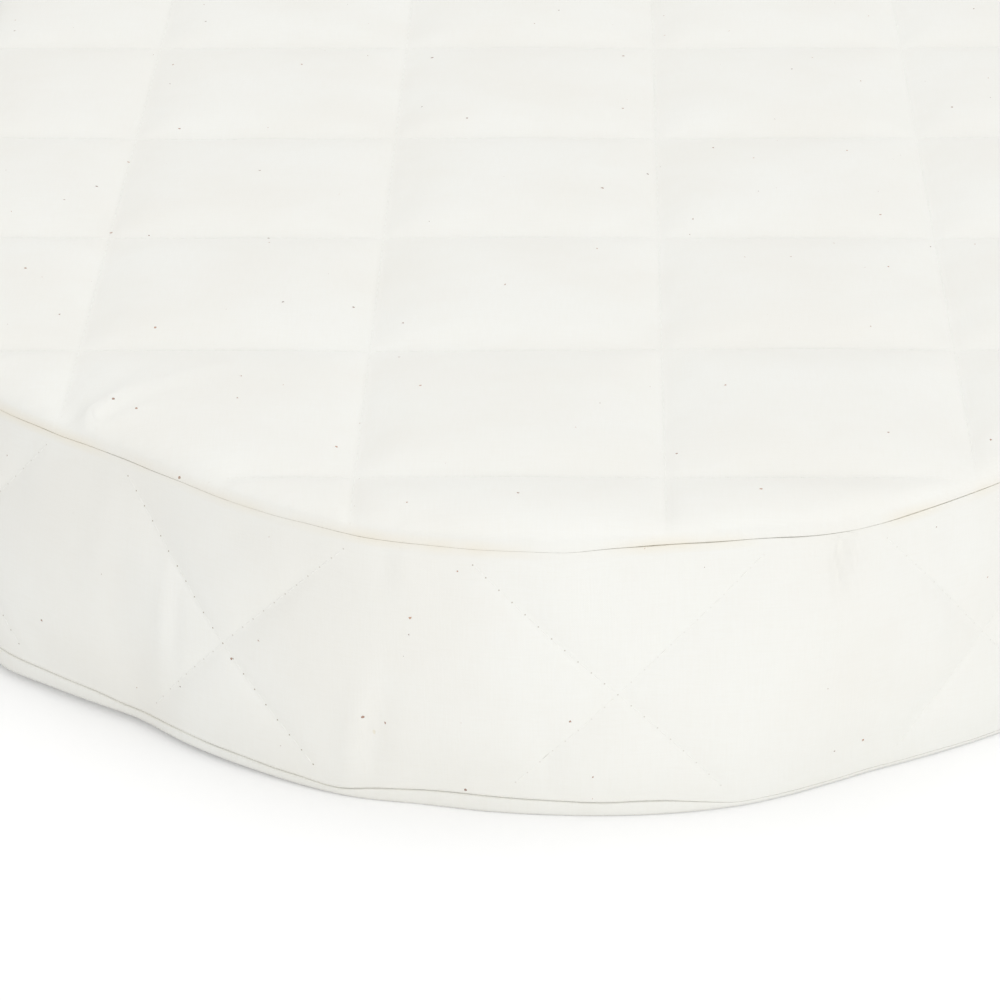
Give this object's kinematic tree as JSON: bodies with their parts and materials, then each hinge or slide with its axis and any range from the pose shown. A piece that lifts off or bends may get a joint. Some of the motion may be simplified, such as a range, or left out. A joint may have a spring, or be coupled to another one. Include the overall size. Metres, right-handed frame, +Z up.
{
  "type": "infant lounger pad",
  "caption": "Flat boxed lounger pad with round ends and upright sides, quilted in squares on top and on the bias round the side, with a firm core inside.",
  "frame": {"origin": "middle of the pad on the surface it rests on", "axes": "+Z up, Y along the pad's length with the pictured end towards -Y, X across its width"},
  "size_m": [0.432, 0.7852, 0.0923],
  "materials": {
    "cotton": "matt unbleached plain-weave cotton with brown seed flecks",
    "calico": "matt thin unbleached calico",
    "wadding": "loose matt cotton wadding",
    "thread": "matt undyed cotton thread",
    "core": "matt open-cell foam"
  },
  "bodies": {
    "root": {"top_face_cloth": "cotton", "top_wadding": "wadding", "top_backing_cloth": "calico", "top_lengthwise_thread_1": "thread", "top_lengthwise_thread_2": "thread", "top_lengthwise_thread_3": "thread", "top_lengthwise_thread_4": "thread", "top_lengthwise_thread_5": "thread", "top_crosswise_thread_1": "thread", "top_crosswise_thread_2": "thread", "top_crosswise_thread_3": "thread", "top_crosswise_thread_4": "thread", "top_crosswise_thread_5": "thread", "top_crosswise_thread_6": "thread", "top_crosswise_thread_7": "thread", "top_crosswise_thread_8": "thread", "top_crosswise_thread_9": "thread", "bottom_face_cloth": "cotton", "bottom_wadding": "wadding", "bottom_backing_cloth": "calico", "bottom_lengthwise_thread_1": "thread", "bottom_lengthwise_thread_2": "thread", "bottom_lengthwise_thread_3": "thread", "bottom_lengthwise_thread_4": "thread", "bottom_lengthwise_thread_5": "thread", "bottom_crosswise_thread_1": "thread", "bottom_crosswise_thread_2": "thread", "bottom_crosswise_thread_3": "thread", "bottom_crosswise_thread_4": "thread", "bottom_crosswise_thread_5": "thread", "bottom_crosswise_thread_6": "thread", "bottom_crosswise_thread_7": "thread", "bottom_crosswise_thread_8": "thread", "bottom_crosswise_thread_9": "thread", "side_face_cloth": "cotton", "side_wadding": "wadding", "side_backing_cloth": "calico", "side_crossing_thread_1": "thread", "side_crossing_thread_2": "thread", "side_crossing_thread_3": "thread", "side_crossing_thread_4": "thread", "side_crossing_thread_5": "thread", "side_crossing_thread_6": "thread", "side_crossing_thread_7": "thread", "side_crossing_thread_8": "thread", "side_crossing_thread_9": "thread", "side_crossing_thread_10": "thread", "side_crossing_thread_11": "thread", "side_crossing_thread_12": "thread", "side_crossing_thread_13": "thread", "side_crossing_thread_14": "thread", "side_crossing_thread_15": "thread", "side_crossing_thread_16": "thread", "side_crossing_thread_17": "thread", "side_crossing_thread_18": "thread", "side_join_thread": "thread", "top_seam_thread": "thread", "bottom_seam_thread": "thread", "inner_cover": "calico", "core_slab": "core"}
  },
  "joints": []
}
